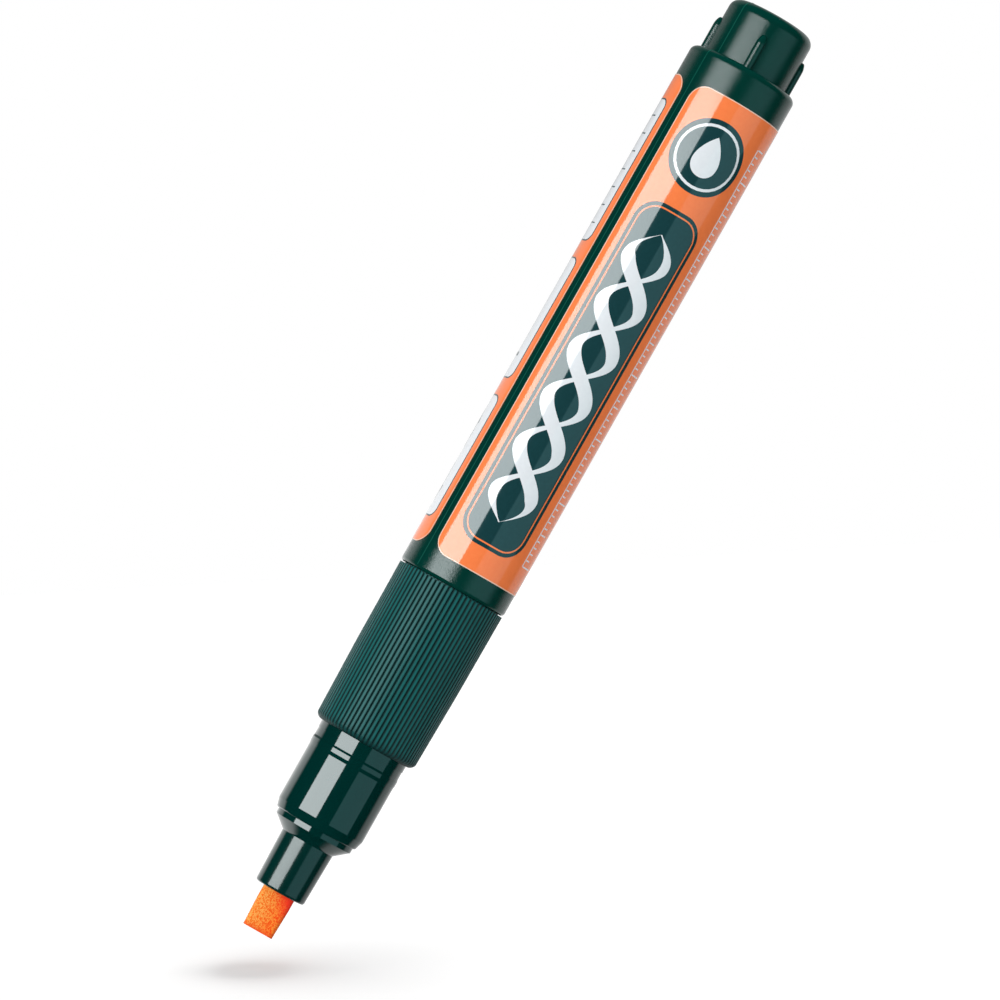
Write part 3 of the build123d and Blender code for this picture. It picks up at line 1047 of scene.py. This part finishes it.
bright_box = light_box(
    "bright_box", Vector((0, 0, 0.065)), around(radians(-37), 1, 0),
    distance=3.0, width=2.8, tall=0.85, radiance=10.4, tint="F6FEFF",
)
light_box(
    "dim_box", Vector((0, 0, 0.16)), around(radians(52), 1, 0),
    distance=3.0, width=3.2, tall=1.2, radiance=0.9, tint="B4F8FF",
)
back_box = light_box(
    "back_box", Vector((0, 0, 0.1)), around(pi, 1, 0),
    distance=3.0, width=2.2, tall=1.0, radiance=5.0, tint="FFFFFF",
)
top_box = light_box(
    "top_box", Vector((0, 0, 0)), Vector((-sin(top_lean), 0, cos(top_lean))),
    distance=1.5, width=0.4, tall=0.4, radiance=26, tint="FFFFFF",
)
for box in (top_box, back_box):
    box.visible_glossy = False

# %% [markdown]
# ## Paper behind the marker
#
# In the gloss stands a dark studio with a sheet of white paper behind the marker, so the plastic
# keeps its deep colour and only its outline is pale. The paper is lit best low on the left and
# falls off towards the tail. A real sheet would cast light and shadow too, so the paper is a part
# of the world instead: its brightness follows from the direction of the ray.

# %% Paper in the gloss
paper_edge = (0.3, 0.5)
paper_sides = (-0.4, 0.4)
paper_heights = (-0.02, 0.11)
paper_left_low, paper_left_high, paper_right = 1.5, 0.28, 0.72


def lit_paper(tree):
    """The brightness of the paper in the direction of a ray, and nothing in front of the marker."""
    direction = add(tree, "ShaderNodeTexCoord").outputs["Generated"]
    way = add(tree, "ShaderNodeSeparateXYZ", {"Vector": direction}).outputs
    left_paper = add(
        tree, "ShaderNodeMapRange",
        {
            "Value": way["Z"], "From Min": paper_heights[0], "From Max": paper_heights[1],
            "To Min": paper_left_low, "To Max": paper_left_high,
        },
    )
    paper = add(
        tree, "ShaderNodeMapRange",
        {
            "Value": way["X"], "From Min": paper_sides[0], "From Max": paper_sides[1],
            "To Min": left_paper.outputs["Result"], "To Max": paper_right,
        },
    )
    backdrop = add(
        tree, "ShaderNodeMapRange",
        {
            "Value": way["Y"], "From Min": paper_edge[0], "From Max": paper_edge[1],
            "To Min": 0.0, "To Max": paper.outputs["Result"],
        },
        interpolation_type="SMOOTHSTEP",
    )
    return backdrop.outputs["Result"]


print(f"paper: {paper_left_low} low on the left, {paper_left_high} above it, {paper_right} on the right")

# %% [markdown]
# ## The air of the studio
#
# The world does three jobs, told apart by the kind of ray. The camera sees plain white. Surfaces
# get an even, weak light from all sides. Rays that come off the gloss find the paper.

# %% Air of the studio
room_light = 0.34


def studio_air():
    """White for the camera, weak light for surfaces, and lit paper in a dark room for the gloss."""
    world = bpy.data.worlds.new("studio")
    world.use_nodes = True
    tree = world.node_tree
    background = tree.nodes["Background"]
    ray = add(tree, "ShaderNodeLightPath").outputs
    in_gloss = add(
        tree, "ShaderNodeMath", {0: ray["Is Glossy Ray"], 1: lit_paper(tree)},
        operation="MULTIPLY",
    )
    plain = add(
        tree, "ShaderNodeMath", {0: ray["Is Diffuse Ray"], 1: room_light, 2: in_gloss.outputs[0]},
        operation="MULTIPLY_ADD",
    )
    seen = add(
        tree, "ShaderNodeMath", {0: ray["Is Camera Ray"], 1: ray["Is Transmission Ray"]},
        operation="ADD",
    )
    strength = add(
        tree, "ShaderNodeMath", {0: plain.outputs[0], 1: seen.outputs[0]}, operation="ADD",
    )
    tree.links.new(strength.outputs[0], background.inputs["Strength"])
    background.inputs["Color"].default_value = (1, 1, 1, 1)
    return world


bpy.context.scene.world = studio_air()
bpy.context.scene.view_settings.view_transform = "Standard"
print("world:", bpy.context.scene.world.name, "with room light", room_light)

# %% [markdown]
# ## The floor
#
# The marker hangs with its nib just above a white floor that is level in the picture. The floor
# is lit like paper, so the marker's shadow shows on it, and it adds some light of its own for the
# camera, so that it is white away from the shadow. The bright box and the one behind leave it out
# by light linking, because the photograph shows one shadow only. The floor is one-sided: a camera
# below it looks through it.

# %% Floor
floor_gap = 5.4 * MM
floor_half = 0.3
floor_cells = 4
floor_slope = radians(9)
floor_glow = 0.42
floor_normal = up * cos(floor_slope) - ahead * sin(floor_slope)
floor_middle = -up * floor_gap


def white_floor():
    """Paper that takes a shadow, white for the camera and clear from below."""
    material, tree, shader = surface(
        "matt_white_paper", Roughness=0.9, Base_Color=(0.8, 0.8, 0.8, 1), Emission_Color=(1, 1, 1, 1))
    ray = add(tree, "ShaderNodeLightPath").outputs
    glow = add(tree, "ShaderNodeMath", {0: ray["Is Camera Ray"], 1: floor_glow}, operation="MULTIPLY")
    tree.links.new(glow.outputs[0], shader.inputs["Emission Strength"])
    clear = add(tree, "ShaderNodeBsdfTransparent")
    behind = add(tree, "ShaderNodeNewGeometry").outputs["Backfacing"]
    sides = add(
        tree, "ShaderNodeMixShader",
        {0: behind, 1: shader.outputs["BSDF"], 2: clear.outputs["BSDF"]},
    )
    tree.links.new(sides.outputs[0], tree.nodes["Material Output"].inputs["Surface"])
    return material


def lay_floor():
    """A square grid, level in the picture."""
    mesh = bmesh.new()
    bmesh.ops.create_grid(mesh, x_segments=floor_cells, y_segments=floor_cells, size=floor_half)
    data = bpy.data.meshes.new("floor")
    mesh.to_mesh(data)
    mesh.free()
    data.materials.append(white_floor())
    floor = bpy.data.objects.new("floor", data)
    turn = floor_normal.to_track_quat("Z", "Y").to_matrix().to_4x4()
    floor.matrix_world = Matrix.Translation(floor_middle) @ turn
    floor.visible_shadow = False
    floor.visible_glossy = False
    bpy.context.scene.collection.objects.link(floor)
    floor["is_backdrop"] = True
    return floor


floor = lay_floor()
unlit = bpy.data.collections.new("lit_from_above_only")
unlit.objects.link(floor)
unlit.collection_objects[0].light_linking.link_state = "EXCLUDE"
for box in (bright_box, back_box):
    box.light_linking.receiver_collection = unlit

# %% [markdown]
# ## The end
#
# The box of the dressed marker is printed beside the box of the solids, so that a look at the two
# tells whether anything grew.

# %% Sizes
dressed_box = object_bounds()
sizes = {
    "cad": [list(corner) for corner in cad_box],
    "visual": [list(corner) for corner in dressed_box],
}
for name, (low, high) in sizes.items():
    print(name, "box in mm:", [round((b - a) / MM, 3) for a, b in zip(low, high)])
